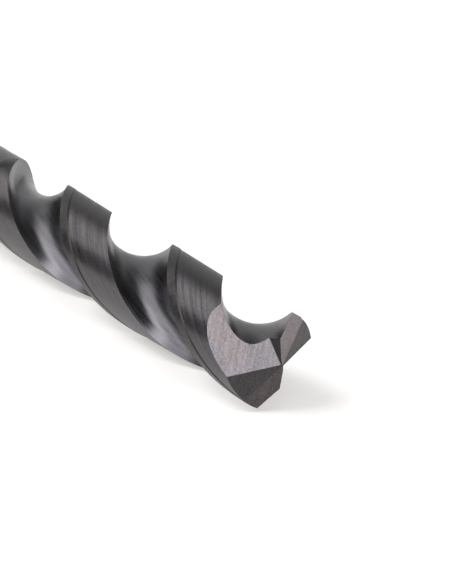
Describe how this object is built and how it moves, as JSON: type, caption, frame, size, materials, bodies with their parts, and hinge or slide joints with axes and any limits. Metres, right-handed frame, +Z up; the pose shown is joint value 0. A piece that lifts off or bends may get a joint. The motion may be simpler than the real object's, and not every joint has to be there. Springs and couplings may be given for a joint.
{
  "type": "twist drill bit",
  "caption": "Solid carbide twist drill with helical flutes, a four-facet gashed point and a plain cylindrical shank.",
  "frame": {"origin": "half way along the drill, on the surface it lies on, straight below its axis", "axes": "+X along the drill's axis from shank to point, +Z up"},
  "size_m": [0.082, 0.006, 0.006],
  "materials": {
    "coated_carbide": "ground tungsten carbide under a dark violet-grey hard coating, satin"
  },
  "bodies": {
    "root": {"drill_bit": "coated_carbide"}
  },
  "joints": []
}
